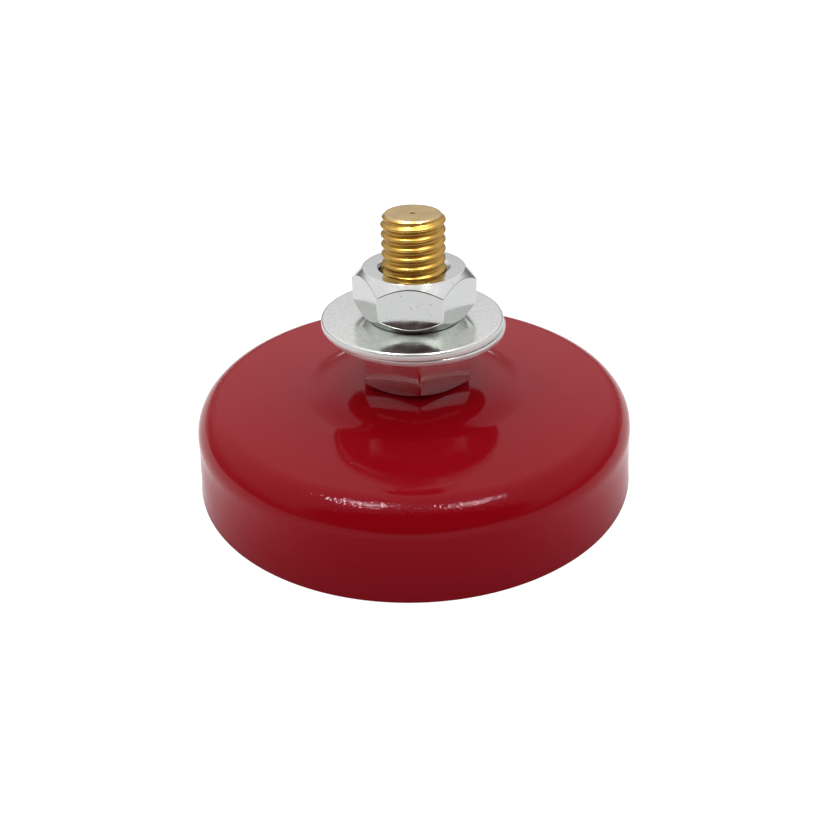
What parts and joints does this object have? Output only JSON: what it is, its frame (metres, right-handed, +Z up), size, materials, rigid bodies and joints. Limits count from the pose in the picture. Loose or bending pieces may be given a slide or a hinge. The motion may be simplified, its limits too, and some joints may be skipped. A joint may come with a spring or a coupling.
{
  "type": "lifting magnet",
  "caption": "Shallow round pot magnet in a red enamelled steel cup, with a central brass stud, plain washers and a clamping nut on top.",
  "frame": {"origin": "centre of the flat magnetic face, on the plane of the cup's rim and the pole, which the magnet stands on", "axes": "+Z up along the stud's axis, out of the threaded end; +X to the right and -Y towards a viewer in front"},
  "size_m": [0.0732, 0.0732, 0.0437],
  "materials": {
    "red_enamel": "gloss",
    "bare_steel": "satin",
    "ferrite": "satin",
    "epoxy": "satin",
    "brass": "satin",
    "satin_zinc": "satin",
    "bright_zinc": "gloss"
  },
  "bodies": {
    "magnet": {"cup_shell": "red_enamel", "clamp_nut": "bright_zinc", "pole_core": "bare_steel", "ring_magnet": "ferrite", "magnet_bond": "epoxy", "outer_filler": "epoxy", "inner_filler": "epoxy", "contact_stud": "brass"},
    "lower_washer": {"lower_washer": "satin_zinc"},
    "upper_washer": {"upper_washer": "satin_zinc"},
    "top_nut": {"top_nut": "bright_zinc"}
  },
  "joints": [
    {"name": "lower_washer_spin", "type": "hinge", "parent": "magnet", "child": "lower_washer", "pos_m": [0.00025, 0, 0.0256], "axis": [0, 0, 1], "continuous": true},
    {"name": "nut_lift", "type": "slide", "parent": "magnet", "child": "upper_washer", "axis": [0, 0, 1], "range_m": [0, 0.0075]},
    {"name": "nut_turn", "type": "hinge", "parent": "upper_washer", "child": "top_nut", "pos_m": [0, 0, 0.0313], "axis": [0, 0, 1], "range_deg": [0, 1800]}
  ],
  "couplings": [
    {"joint": "nut_lift", "follows": "nut_turn", "m_per_rad": 0.00023873}
  ]
}
